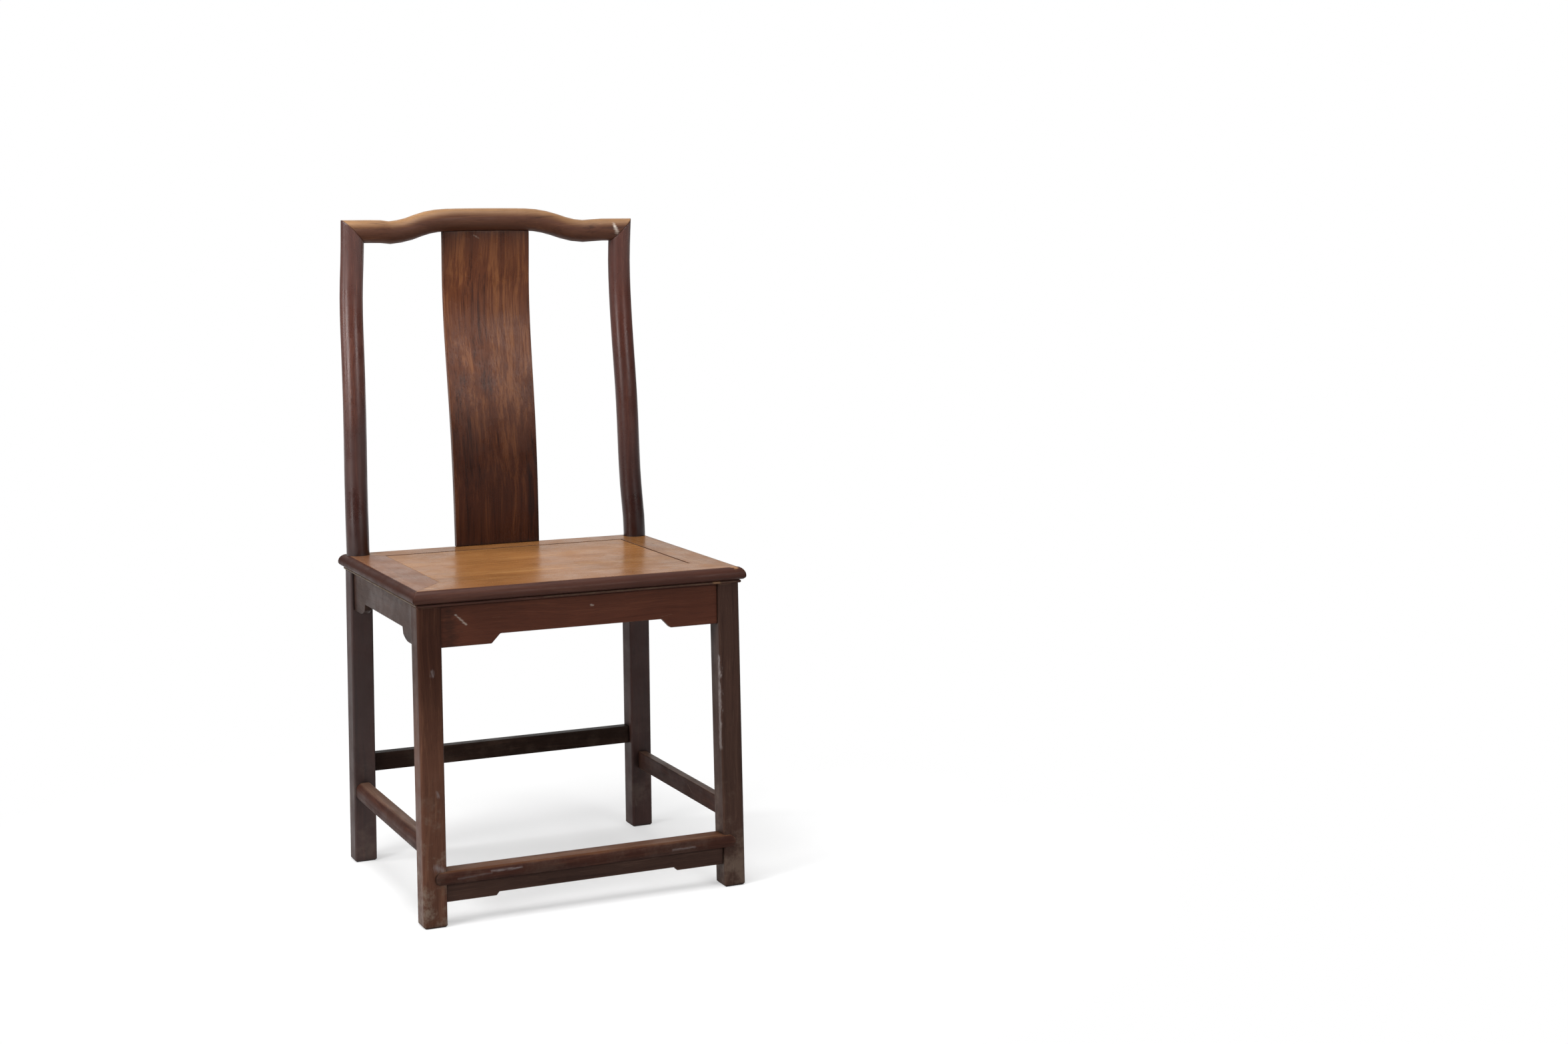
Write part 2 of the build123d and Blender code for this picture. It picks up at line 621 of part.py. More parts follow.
def foot_apron_slot():
    """Housing of the footrest apron's end, in the right front leg."""
    half = face_at(FOOT_APRON_TOP)[0] - LEG_WIDTH + HOUSING_DEPTH
    face = face_at(FOOT_APRON_TOP)[1] - APRON_INSET
    z = (FOOT_APRON_TOP - FOOT_APRON_END_DEPTH, FOOT_APRON_TOP)
    return block((0, half), (-face, FOOT_APRON_THICKNESS - face), z, FIT)


def back_stretcher():
    face = face_at(BACK_STRETCHER_TOP)[1] - BACK_STRETCHER_INSET
    z = (BACK_STRETCHER_TOP - BACK_STRETCHER_HEIGHT, BACK_STRETCHER_TOP)
    bar = block((-LEG_X, LEG_X), (face - BACK_STRETCHER_THICKNESS, face), z)
    bar = fillet(bar.edges().filter_by(Axis.X), STRETCHER_EASE)
    return bar - both_sides(leg_bar(1)) + back_tenon()


def right_stretcher():
    """Side stretcher with a flat top and a rounded outer edge, coped to the legs' lean."""
    nose = face_at(SIDE_STRETCHER_TOP)[0] - SIDE_STRETCHER_INSET
    inner = nose - SIDE_STRETCHER_WIDTH
    ridge = inner + SIDE_STRETCHER_FLAT
    tuck = nose - SIDE_STRETCHER_TUCK
    high, low = SIDE_STRETCHER_TOP, SIDE_STRETCHER_TOP - SIDE_STRETCHER_HEIGHT
    middle = (high + low) / 2
    outline = [
        Line((inner, low), (inner, high)),
        Line((inner, high), (ridge, high)),
        quarter_round((ridge, high), (nose, high), (nose, middle)),
        quarter_round((nose, middle), (nose, low), (tuck, low)),
        Line((tuck, low), (inner, low)),
    ]
    bar = extrude(Plane.XZ * make_face(outline), LEG_Y, both=True)
    return bar - leg_bar(-1) - leg_bar(1) + side_tenon()


# Legs with their mortises


def apron_housings(end):
    """Slots in the right leg for the ends of the two aprons that meet there."""
    x = LEG_FACE_X - LEG_WIDTH + HOUSING_DEPTH
    y = end * (LEG_FACE_Y - LEG_WIDTH + HOUSING_DEPTH)
    face_x, face_y = LEG_FACE_X - APRON_INSET, LEG_FACE_Y - APRON_INSET
    end_depth = APRON_END_DEPTH if end < 0 else BACK_APRON_DEPTH
    across = sorted((end * face_y, end * (face_y - APRON_THICKNESS)))
    cross = block((0, x), across, (SEAT_BOTTOM - end_depth, SEAT_BOTTOM), FIT)
    fore_aft = (SEAT_BOTTOM - APRON_END_DEPTH, SEAT_BOTTOM)
    side = block((face_x - APRON_THICKNESS, face_x), sorted((0, y)), fore_aft, FIT)
    return cross + side


def right_front_leg():
    leg = leg_bar(-1) - apron_housings(-1) - foot_apron_slot()
    return leg - front_tenon(FIT) - side_tenon(FIT) + leg_tenons()


def right_rear_post():
    """Rear leg and back post in one piece: square below the seat, round from there up."""
    leg = leg_bar(1) - apron_housings(1) - back_tenon(FIT) - side_tenon(FIT)
    crest_side = split(corner_tenon(), bisect_by=mitre_plane(), keep=Keep.TOP)
    return leg + post_bar() + crest_side


def pieces():
    """Every piece of the chair by name."""
    parts = {
        "seat_front_rail": end_rail(-1),
        "seat_back_rail": end_rail(1),
        "seat_panel": seat_panel(),
        "crest_rail": crest_rail(),
        "back_splat": back_splat(),
        "front_apron": end_apron(-1),
        "back_apron": end_apron(1),
        "front_stretcher": front_stretcher(),
        "front_stretcher_apron": front_stretcher_apron(),
        "back_stretcher": back_stretcher(),
    }
    paired = {
        "seat_{}_rail": right_rail(),
        "{}_panel_batten": right_batten(),
        "{}_front_leg": right_front_leg(),
        "{}_rear_post": right_rear_post(),
        "{}_apron": right_apron(),
        "{}_stretcher": right_stretcher(),
    }
    for name, right in paired.items():
        parts[name.format("right")] = right
        parts[name.format("left")] = mirrored(right)
    return parts


footrest_nose = -face_at(FRONT_STRETCHER_TOP)[1] - FRONT_NOSE_PROUD
to_origin = Pos(0, -(CREST_BACK + footrest_nose) / 2, 0)
os.makedirs("parts", exist_ok=True)
for node, shape in pieces().items():
    export_step(to_origin * shape, f"parts/{node}.step")
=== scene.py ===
"""Looks for the armless official's hat chair: worn dark hardwood on a white studio floor."""

import math

import bpy
from mathutils import Matrix, Vector

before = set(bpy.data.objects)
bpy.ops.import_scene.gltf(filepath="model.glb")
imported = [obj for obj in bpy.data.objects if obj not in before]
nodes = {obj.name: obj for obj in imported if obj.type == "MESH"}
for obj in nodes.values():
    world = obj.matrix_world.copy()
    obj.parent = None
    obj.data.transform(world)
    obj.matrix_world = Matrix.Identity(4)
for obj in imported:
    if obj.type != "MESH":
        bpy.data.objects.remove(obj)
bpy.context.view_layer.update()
scene = bpy.context.scene


# ---------------------------------------------------------------- node helpers

class Graph:
    """The node tree of a material or a world, with short calls to add and join its nodes."""

    def __init__(self, owner):
        owner.use_nodes = True
        self.owner = owner
        self.tree = owner.node_tree
        self.tree.nodes.clear()

    def add(self, kind, inputs=None, **settings):
        """A new node. inputs are values or other nodes' sockets, by socket name or number."""
        node = self.tree.nodes.new("ShaderNode" + kind)
        for key, value in settings.items():
            setattr(node, key, value)
        for key, value in (inputs or {}).items():
            if isinstance(value, bpy.types.NodeSocket):
                self.tree.links.new(value, node.inputs[key])
            else:
                node.inputs[key].default_value = value
        return node

    def math(self, operation, a, b=0.0, c=0.0, clamp=False):
        inputs = {0: a, 1: b, 2: c}
        return self.add("Math", inputs, operation=operation, use_clamp=clamp).outputs[0]

    def vector(self, operation, a, b):
        return self.add("VectorMath", {0: a, 1: b}, operation=operation).outputs[0]

    def dot(self, a, b):
        product = self.add("VectorMath", {0: a, 1: b}, operation="DOT_PRODUCT")
        return product.outputs["Value"]

    def z_of(self, vector):
        return self.add("SeparateXYZ", {0: vector}).outputs["Z"]

    def ramp(self, value, low, high, to_low=0.0, to_high=1.0):
        """value from low..high to to_low..to_high, smooth and clamped."""
        inputs = {0: value, 1: low, 2: high, 3: to_low, 4: to_high}
        return self.add("MapRange", inputs, interpolation_type="SMOOTHSTEP").outputs[0]

    def noise(self, vector, scale=1.0, detail=2.0, roughness=0.5, output="Fac"):
        inputs = {"Vector": vector, "Scale": scale, "Detail": detail, "Roughness": roughness}
        return self.add("TexNoise", inputs).outputs[output]

    def stretched(self, vector, along, across, **detail):
        """Noise drawn out along the grain: features per metre along it and across it."""
        return self.noise(self.vector("MULTIPLY", vector, (along, across, across)), **detail)

    def gap(self, position, start, end):
        """Distance of a position from the line between two points."""
        run = Vector(end) - Vector(start)
        offset = self.vector("SUBTRACT", position, start)
        share = self.dot(offset, run / run.length_squared)
        share = self.math("MULTIPLY", share, 1.0, clamp=True)
        nearest = self.add("VectorMath", {0: run, "Scale": share}, operation="SCALE")
        distance = self.add("VectorMath", {0: offset, 1: nearest.outputs[0]},
                            operation="DISTANCE")
        return distance.outputs["Value"]

    def mix(self, factor, a, b, blend="MIX"):
        """Colour a, blended with colour b by factor."""
        inputs = {0: factor, 6: a, 7: b}
        return self.add("Mix", inputs, data_type="RGBA", blend_type=blend).outputs[2]

    def mix_values(self, factor, a, b):
        return self.add("Mix", {0: factor, 2: a, 3: b}, data_type="FLOAT").outputs[0]

    def three_tones(self, value, tones):
        """Colour that runs from dark through middle to light as value goes from 0 to 1."""
        ramp = self.add("ValToRGB", {"Fac": value})
        ramp.color_ramp.interpolation = "EASE"
        ramp.color_ramp.elements.new(0.5)
        for element, tone in zip(ramp.color_ramp.elements, tones):
            element.color = tone
        return ramp.outputs["Color"]

    def straight_and_mirrored(self):
        """1 for the rays seen directly or through glass, and 1 for those seen in a mirror."""
        path = self.add("LightPath").outputs
        straight = self.math("MAXIMUM", path["Is Camera Ray"], path["Is Transmission Ray"])
        return straight, path["Is Glossy Ray"]

    def output(self, kind, shader):
        self.add("Output" + kind, {"Surface": shader})
        return self.owner


def rgb(red, green, blue):
    """A colour typed as 0-255 display values, as the shader's linear one."""
    linear = []
    for value in (red, green, blue):
        v = value / 255
        linear.append(v / 12.92 if v <= 0.04045 else ((v + 0.055) / 1.055) ** 2.4)
    return (*linear, 1.0)


# ---------------------------------------------------------------- wood

# turns the grain's direction to x
GRAIN_TURN = {"x": (0, 0, 0), "y": (0, 0, math.pi / 2), "z": (0, math.pi / 2, 0)}
# how far apart, in metres, two pieces with consecutive seeds lie in the noise
SEED_STEP = (1.7, 2.3, 0.9)

# noise drawn out along the grain
BANDS = dict(along=1.3, across=30.0, detail=3.0, roughness=0.55)
STREAKS = dict(along=3.5, across=150.0, detail=3.0, roughness=0.6)
HAIRS = dict(along=14.0, across=620.0, detail=2.0, roughness=0.6)
PORES = dict(along=40.0, across=1500.0, detail=1.0)
SCRATCHES = dict(along=6.0, across=45.0, detail=0.0)
RAGS = dict(along=90.0, across=450.0, detail=3.0, roughness=0.7)

# noise that is the same in all directions
DRIFT = dict(scale=3.2, output="Color")
PATCHES = dict(scale=5.0, detail=3.0, roughness=0.6)
WAVES = dict(scale=13.0, detail=1.0)
SCUFFS = dict(scale=21.0, detail=5.0, roughness=0.7)
POLISH = dict(scale=24.0, detail=4.0, roughness=0.6)
SCRATCHED = dict(scale=33.0, detail=1.0)
RUBBING = dict(scale=38.0, detail=4.0, roughness=0.65)

GRAIN_DRIFT = 0.035             # metres the grain wanders sideways
BAND_SHARE, STREAK_SHARE, HAIR_SHARE = 0.36, 0.38, 0.26
FIGURE_SPREAD = 0.155           # half the range of the summed figure
EDGE_REACH = 0.0022             # metres round an edge that wear
CORNER_REACH = 0.012            # metres within which other wood darkens a face: soil held there, and painted shade
LOCAL_SAMPLES = 6               # rays that find edges and corners
SCUFF_FULL, SCUFF_TOP = 0.05, 0.24      # metres above the floor
DULL_BLEND = 0.02               # metres each way
RELIEF_DEPTH = 0.0006           # metres of height for a bump of 1
WAX_IOR = 1.45

# values between which each mask comes in
NOISE_SPAN = (0.3, 0.7)         # holds most of a noise's values
PORE_CUT = (0.60, 0.70)
EDGE_CUT = (0.015, 0.16)
RUBBING_CUT = (0.45, 0.68)
SCUFF_CUT = (0.44, 0.66)
SCRATCH_CUT = (0.0008, 0.0026)
SCRATCHED_CUT = (0.66, 0.70)
DIRT_AND_SHADE_CUT = (0.35, 0.8)
MARK_CUT = (1.1, 2.8)           # in radii

# how strong each one is
PATCH_SHADES = (0.84, 1.14)
PORE_STRENGTH = 0.18
EDGE_STRENGTH = 0.5
SCRATCH_STRENGTH = 0.22
DIRT_AND_SHADE_STRENGTH = 0.8
MARK_RAGGEDNESS = 3.0           # in radii

# what is added to the roughness, and to the height that makes the bump
POLISH_LOW, POLISH_HIGH = -0.06, 0.08
PORE_ROUGHNESS = 0.06
DIRT_ROUGHNESS = 0.25
UNRUBBED_ROUGHNESS = 0.12       # on pieces with rubbed tops, where they aren't rubbed
DULL_ROUGHNESS = 0.3
STREAK_HEIGHT, PORE_HEIGHT, SCRATCH_HEIGHT, WAVE_HEIGHT = 0.3, -0.3, -0.6, 2.2

PORE_TONE = rgb(20, 11, 9)
DIRT_AND_SHADE_TONE = rgb(20, 12, 9)
SCUFF_TONE = rgb(112, 96, 84)
SCRATCH_TONE = rgb(165, 145, 125)
EDGE_TONE = rgb(150, 118, 92)


def wood(name, grain, tones, seed, rubbed_and_lit=None, flat=0.78, gloss=0.40, shine=0.3, contrast=1.0,
         wear_and_highlight=1.0, wear_and_highlight_tone=EDGE_TONE, grime_and_shade=1.0, scratches=1.0, scuffs=0.0, relief=0.5,
         fades=(), dull_below=None, marks=()):
    """Old waxed hardwood: figure, fibres, pores, worn tops and edges, soil and painted shade in
    corners, scratches.

    tones are its dark, middle and light colours, and rubbed_and_lit those of faces that look up
    by
    more than flat: worn paler, and with the crest's low flat also painted light from above.
    fades are (full, none, tint): a tint of painted shade at one height that is gone at the other.
    Below the height dull_below it has lost its polish.
    marks are single worn places, painted highlights and dark patches: (start, end, radius, tone,
    strength).
    """
    g = Graph(bpy.data.materials.new(name))
    position = g.add("TexCoord").outputs["Object"]
    normal = g.add("NewGeometry").outputs["Normal"]
    height = g.z_of(position)
    turned = g.add("Mapping", {"Vector": position, "Rotation": GRAIN_TURN[grain],
                               "Location": [seed * step for step in SEED_STEP]}).outputs[0]

    # figure: bands, streaks and hairs that wander a little across the grain
    drift = g.vector("SUBTRACT", g.noise(turned, **DRIFT), (0.5, 0.5, 0.5))
    drift = g.vector("MULTIPLY", drift, (0.0, GRAIN_DRIFT, GRAIN_DRIFT))
    fibres = g.vector("ADD", turned, drift)
    streaks = g.stretched(fibres, **STREAKS)
    figure = g.math("MULTIPLY", g.stretched(fibres, **BANDS), BAND_SHARE)
    figure = g.math("MULTIPLY_ADD", streaks, STREAK_SHARE, figure)
    figure = g.math("MULTIPLY_ADD", g.stretched(fibres, **HAIRS), HAIR_SHARE, figure)
    spread = FIGURE_SPREAD / contrast
    figure = g.add("MapRange", {0: figure, 1: 0.5 - spread, 2: 0.5 + spread}).outputs[0]
    colour = g.three_tones(figure, tones)

    # tops worn paler by handling, with a ragged border; with the crest's low flat, also painted
    # light from above
    patches = g.noise(turned, **PATCHES)
    if rubbed_and_lit:
        ragged = g.math("SUBTRACT", patches, 0.5)
        ragged = g.math("MULTIPLY_ADD", ragged, 1.0 - flat, g.z_of(normal))
        handled_and_lit = g.ramp(ragged, flat, 1.0)
        colour = g.mix(handled_and_lit, colour, g.three_tones(figure, rubbed_and_lit))

    # painted shade laid on by height, and pores
    for full, none, tint in fades:
        colour = g.mix(g.ramp(height, none, full), colour, tint, "MULTIPLY")
    pores = g.ramp(g.stretched(fibres, **PORES), *PORE_CUT)
    colour = g.mix(g.math("MULTIPLY", pores, PORE_STRENGTH), colour, PORE_TONE)
    shade = g.ramp(patches, *NOISE_SPAN, *PATCH_SHADES)
    shade = g.add("CombineColor", {0: shade, 1: shade, 2: shade}).outputs[0]
    colour = g.mix(1.0, colour, shade, "MULTIPLY")

    # edges worn by hands, feet and cloths; on the left seat rail, with its pale tone, also a
    # painted highlight on the bead
    round_normal = g.add("Bevel", {"Radius": EDGE_REACH}, samples=LOCAL_SAMPLES).outputs[0]
    turn = g.math("SUBTRACT", 1.0, g.dot(round_normal, normal))
    rub = g.ramp(g.noise(turned, **RUBBING), *RUBBING_CUT)
    edge = g.math("MULTIPLY", g.ramp(turn, *EDGE_CUT), rub)
    edge = g.math("MULTIPLY", edge, EDGE_STRENGTH * wear_and_highlight, clamp=True)
    colour = g.mix(edge, colour, wear_and_highlight_tone)

    # feet and stretchers scuffed grey near the floor
    if scuffs:
        low = g.ramp(height, SCUFF_FULL, SCUFF_TOP, scuffs, 0.0)
        scuff = g.ramp(g.noise(turned, **SCUFFS), *SCUFF_CUT)
        colour = g.mix(g.math("MULTIPLY", low, scuff), colour, SCUFF_TONE)

    # hairline scratches, along thin level lines of a broad noise
    level = g.math("SUBTRACT", g.stretched(turned, **SCRATCHES), 0.5)
    line = g.ramp(g.math("ABSOLUTE", level), *SCRATCH_CUT, 1.0, 0.0)
    line = g.math("MULTIPLY", line, g.ramp(g.noise(turned, **SCRATCHED), *SCRATCHED_CUT))
    line = g.math("MULTIPLY", line, SCRATCH_STRENGTH * scratches, clamp=True)
    colour = g.mix(line, colour, SCRATCH_TONE)

    # single worn places, painted highlights and dark patches, with ragged borders
    if marks:
        rag = g.stretched(turned, **RAGS)
    for start, end, radius, tone, strength in marks:
        reach = g.gap(position, start, end)
        reach = g.math("MULTIPLY_ADD", rag, radius * MARK_RAGGEDNESS, reach)
        inside, outside = (radius * cut for cut in MARK_CUT)
        colour = g.mix(g.ramp(reach, inside, outside, strength, 0.0), colour, tone)

    # soil and old wax held in the corners, and painted shade there
    hollow = g.add("AmbientOcclusion", {"Distance": CORNER_REACH}, samples=LOCAL_SAMPLES)
    dirt_and_shade = g.ramp(hollow.outputs["AO"], *DIRT_AND_SHADE_CUT, DIRT_AND_SHADE_STRENGTH, 0.0)
    dirt_and_shade = g.math("MULTIPLY", dirt_and_shade, grime_and_shade, clamp=True)
    colour = g.mix(dirt_and_shade, colour, DIRT_AND_SHADE_TONE)

    roughness = g.ramp(g.noise(turned, **POLISH), *NOISE_SPAN,
                       gloss + POLISH_LOW, gloss + POLISH_HIGH)
    roughness = g.math("MULTIPLY_ADD", pores, PORE_ROUGHNESS, roughness)
    roughness = g.math("MULTIPLY_ADD", dirt_and_shade, DIRT_ROUGHNESS, roughness)
    if rubbed_and_lit:
        unrubbed = g.math("SUBTRACT", 1.0, handled_and_lit)
        roughness = g.math("MULTIPLY_ADD", unrubbed, UNRUBBED_ROUGHNESS, roughness)
    if dull_below:
        dull = g.ramp(height, dull_below + DULL_BLEND, dull_below - DULL_BLEND)
        roughness = g.math("MULTIPLY_ADD", dull, DULL_ROUGHNESS, roughness)

    # streaks and waves stand up, pores and scratches are sunk
    surface = g.math("MULTIPLY", streaks, STREAK_HEIGHT)
    surface = g.math("MULTIPLY_ADD", pores, PORE_HEIGHT, surface)
    surface = g.math("MULTIPLY_ADD", line, SCRATCH_HEIGHT, surface)
    surface = g.math("MULTIPLY_ADD", g.noise(turned, **WAVES), WAVE_HEIGHT, surface)
    bump = g.add("Bump", {"Strength": relief, "Distance": RELIEF_DEPTH, "Height": surface,
                          "Normal": round_normal}).outputs[0]
    shader = g.add("BsdfPrincipled", {"Base Color": colour, "Roughness": roughness,
                                      "IOR": WAX_IOR, "Specular IOR Level": shine,
                                      "Normal": bump}).outputs[0]
    return g.output("Material", shader)


# dark, middle and light tones of each kind of wood
POST = (rgb(48, 22, 16), rgb(72, 38, 30), rgb(96, 58, 46))
DARK = (rgb(36, 18, 13), rgb(54, 30, 23), rgb(76, 46, 35))
LEG = (rgb(53, 30, 22), rgb(80, 51, 39), rgb(106, 73, 56))
GREY_LEG = (rgb(42, 27, 23), rgb(62, 43, 36), rgb(84, 62, 52))
APRON = (rgb(52, 25, 16), rgb(77, 42, 30), rgb(96, 56, 40))
CREST = (rgb(48, 25, 17), rgb(77, 46, 32), rgb(102, 67, 46))
CREST_TOP_RUBBED_AND_LIT = (rgb(98, 66, 42), rgb(132, 97, 63), rgb(156, 119, 81))
SPLAT = (rgb(52, 24, 12), rgb(86, 46, 26), rgb(117, 72, 42))
SEAT = (rgb(100, 62, 32), rgb(125, 83, 45), rgb(147, 106, 63))
RAIL_TOP = (rgb(96, 59, 30), rgb(119, 78, 42), rgb(142, 102, 60))
SEAT_NOSE = (rgb(42, 23, 18), rgb(62, 37, 30), rgb(82, 54, 44))
SIDE_TOP = (rgb(90, 56, 37), rgb(114, 77, 54), rgb(137, 99, 73))
FOOTREST = (rgb(62, 36, 23), rgb(84, 53, 35), rgb(108, 73, 50))
GREY_TOP = (rgb(68, 47, 37), rgb(90, 67, 55), rgb(112, 87, 74))
# the dark wood darkened further by painted shade, for the back stretcher
DARK_PAINTED_SHADE = (rgb(25, 15, 12), rgb(37, 25, 20), rgb(53, 37, 30))

# tones of marks, tints and worn edges, among them painted highlights and painted shade
PALE = rgb(196, 184, 172)
TAN_WEAR_AND_HIGHLIGHT = rgb(172, 130, 92)
BLUISH_WEAR_AND_GLINT = rgb(130, 122, 122)
GREYISH_PAINTED_HIGHLIGHT = rgb(152, 142, 140)
OLIVE_PAINTED_HIGHLIGHT = rgb(120, 107, 84)
DARK_PATCH = rgb(38, 25, 20)
LAPPED = rgb(96, 76, 66)
SHADED = rgb(170, 158, 156)
SIDE_EDGE_WEAR_AND_HIGHLIGHT = rgb(138, 118, 90)

SEAT_LOOK = dict(tones=SEAT_NOSE, flat=0.96, gloss=0.28, shine=0.1, contrast=0.7, grime_and_shade=0.2,
                 relief=0.3)
STRETCHER_LOOK = dict(tones=DARK, rubbed_and_lit=GREY_TOP, shine=0.08, wear_and_highlight=1.3, scuffs=0.1)
POST_LOOK = dict(grain="z", tones=POST, gloss=0.29, shine=0.42, contrast=0.8, scuffs=0.2,
                 relief=0.2, fades=[(0.50, 0.85, SHADED)], dull_below=0.46)
LEG_LOOK = dict(grain="z", shine=0.08, contrast=0.8, scuffs=0.5)
APRON_LOOK = dict(shine=0.1, contrast=0.7)

# the order sets each piece's seed
LOOKS = {
    # its paler top is worn, and with flat at 0.1 also painted light from above
    "crest_rail": dict(grain="x", tones=CREST, rubbed_and_lit=CREST_TOP_RUBBED_AND_LIT, flat=0.1, gloss=0.34,
                       shine=0.2, contrast=0.8, relief=0.3),
    "back_splat": dict(grain="z", tones=SPLAT, gloss=0.29, shine=0.2, contrast=1.3, relief=0.3,
                       scratches=0.0, fades=[(0.58, 0.80, SHADED), (1.06, 0.84, SHADED)]),
    "left_rear_post": dict(POST_LOOK, shine=0.6),
    "right_rear_post": POST_LOOK,
    "left_front_leg": dict(LEG_LOOK, tones=LEG, scuffs=1.2, fades=[(0.40, 0.22, SHADED)]),
    "right_front_leg": dict(LEG_LOOK, tones=GREY_LEG),
    "seat_front_rail": dict(SEAT_LOOK, grain="x", rubbed_and_lit=RAIL_TOP),
    "seat_back_rail": dict(SEAT_LOOK, grain="x", rubbed_and_lit=RAIL_TOP),
    # its pale edge tone is wear, and also a painted highlight on the bead
    "seat_left_rail": dict(SEAT_LOOK, grain="y", tones=DARK, rubbed_and_lit=SIDE_TOP, shine=0.06,
                           wear_and_highlight=1.3, wear_and_highlight_tone=SIDE_EDGE_WEAR_AND_HIGHLIGHT),
    "seat_right_rail": dict(SEAT_LOOK, grain="y", rubbed_and_lit=RAIL_TOP),
    "seat_panel": dict(grain="x", tones=SEAT, gloss=0.26, shine=0.06, contrast=0.9, grime_and_shade=0.1,
                       relief=0.3),
    "left_panel_batten": dict(grain="y", tones=DARK),
    "right_panel_batten": dict(grain="y", tones=DARK),
    "front_apron": dict(APRON_LOOK, grain="x", tones=APRON, scratches=1.6),
    "back_apron": dict(APRON_LOOK, grain="x", tones=APRON),
    "left_apron": dict(APRON_LOOK, grain="y", tones=GREY_LEG, fades=[(0.3, 0.5, SHADED)]),
    "right_apron": dict(APRON_LOOK, grain="y", tones=GREY_LEG),
    "front_stretcher": dict(grain="x", tones=DARK, rubbed_and_lit=FOOTREST, flat=0.6, shine=0.08,
                            wear_and_highlight=1.2, scratches=2.0, scuffs=0.15),
    "front_stretcher_apron": dict(grain="x", tones=GREY_LEG, shine=0.08, contrast=0.8),
    "left_stretcher": dict(STRETCHER_LOOK, grain="y"),
    "right_stretcher": dict(STRETCHER_LOOK, grain="y"),
    "back_stretcher": dict(grain="x", tones=DARK_PAINTED_SHADE, shine=0.05, contrast=0.8, scuffs=0.2),
}

# (start, end, radius, tone, strength) of each piece's worn places, painted highlights and dark
# patches
MARKS = {
    "crest_rail": [
        ((0.2025, 0.170, 0.990), (0.2035, 0.169, 0.984), 0.003, PALE, 0.8),
        ((0.2045, 0.169, 0.982), (0.2075, 0.169, 0.975), 0.004, PALE, 0.7)],
    "back_splat": [
        ((-0.020, 0.2, 0.972), (-0.012, 0.2, 0.967), 0.0015, PALE, 0.35)],
    "left_front_leg": [
        # a pale strip down the edge and small spots: wear with painted glints
        ((-0.253, -0.213, 0.300), (-0.255, -0.216, 0.120), 0.003, BLUISH_WEAR_AND_GLINT, 0.6),
        ((-0.229, -0.217, 0.088), (-0.222, -0.217, 0.084), 0.006, BLUISH_WEAR_AND_GLINT, 0.5),
        ((-0.228, -0.212, 0.370), (-0.227, -0.212, 0.364), 0.003, BLUISH_WEAR_AND_GLINT, 0.5),
        ((-0.225, -0.215, 0.197), (-0.224, -0.215, 0.191), 0.003, BLUISH_WEAR_AND_GLINT, 0.4)],
    "right_front_leg": [
        # painted highlight along the leg's rounded inner edge
        ((0.2105, -0.209, 0.350), (0.2120, -0.209, 0.215), 0.005, GREYISH_PAINTED_HIGHLIGHT, 0.9)],
    "seat_front_rail": [
        # pale worn spots at the corners, then a painted highlight along the bead under the nose
        ((-0.228, -0.190, 0.485), (-0.2186, -0.194, 0.485), 0.003, TAN_WEAR_AND_HIGHLIGHT, 0.8),
        ((0.236, -0.208, 0.485), (0.240, -0.211, 0.484), 0.004, TAN_WEAR_AND_HIGHLIGHT, 0.8),
        ((-0.060, -0.2114, 0.4635), (0.240, -0.2114, 0.4635), 0.0014, OLIVE_PAINTED_HIGHLIGHT, 0.3),
        ((0.205, -0.2114, 0.4640), (0.213, -0.2114, 0.4640), 0.003, TAN_WEAR_AND_HIGHLIGHT, 0.5)],
    "seat_left_rail": [
        # painted highlight along the bead
        ((-0.2472, 0.190, 0.4635), (-0.2472, -0.205, 0.4635), 0.0016, OLIVE_PAINTED_HIGHLIGHT, 0.5)],
    "front_apron": [
        # a darker patch at the apron's left end
        ((-0.200, -0.205, 0.455), (-0.195, -0.205, 0.400), 0.014, DARK_PATCH, 0.6),
        ((-0.1893, -0.2053, 0.4465), (-0.1741, -0.2053, 0.4319), 0.0018, PALE, 0.5),
        ((0.0135, -0.2053, 0.4450), (0.0165, -0.2053, 0.4440), 0.0018, PALE, 0.4)],
    "front_stretcher": [
        ((-0.252, -0.224, 0.075), (-0.236, -0.224, 0.075), 0.009, LAPPED, 0.6),
        ((0.236, -0.224, 0.075), (0.252, -0.224, 0.075), 0.009, LAPPED, 0.4),
        # wear with painted glints on the nose
        ((-0.150, -0.222, 0.0745), (-0.105, -0.222, 0.0745), 0.0022, BLUISH_WEAR_AND_GLINT, 0.5),
        ((-0.200, -0.222, 0.070), (-0.150, -0.222, 0.072), 0.002, BLUISH_WEAR_AND_GLINT, 0.2),
        ((0.130, -0.222, 0.070), (0.165, -0.222, 0.070), 0.0022, BLUISH_WEAR_AND_GLINT, 0.4)],
}

for seed, (node_name, look) in enumerate(LOOKS.items(), start=1):
    materials = nodes[node_name].data.materials
    materials.clear()
    materials.append(wood(node_name + ".wood", seed=seed, marks=MARKS.get(node_name, ()), **look))


# ---------------------------------------------------------------- eased edges

WELD_REACH = 0.00002
EASED = 0.0009
EASED_SEGMENTS = 2
EASED_FROM = math.radians(35)

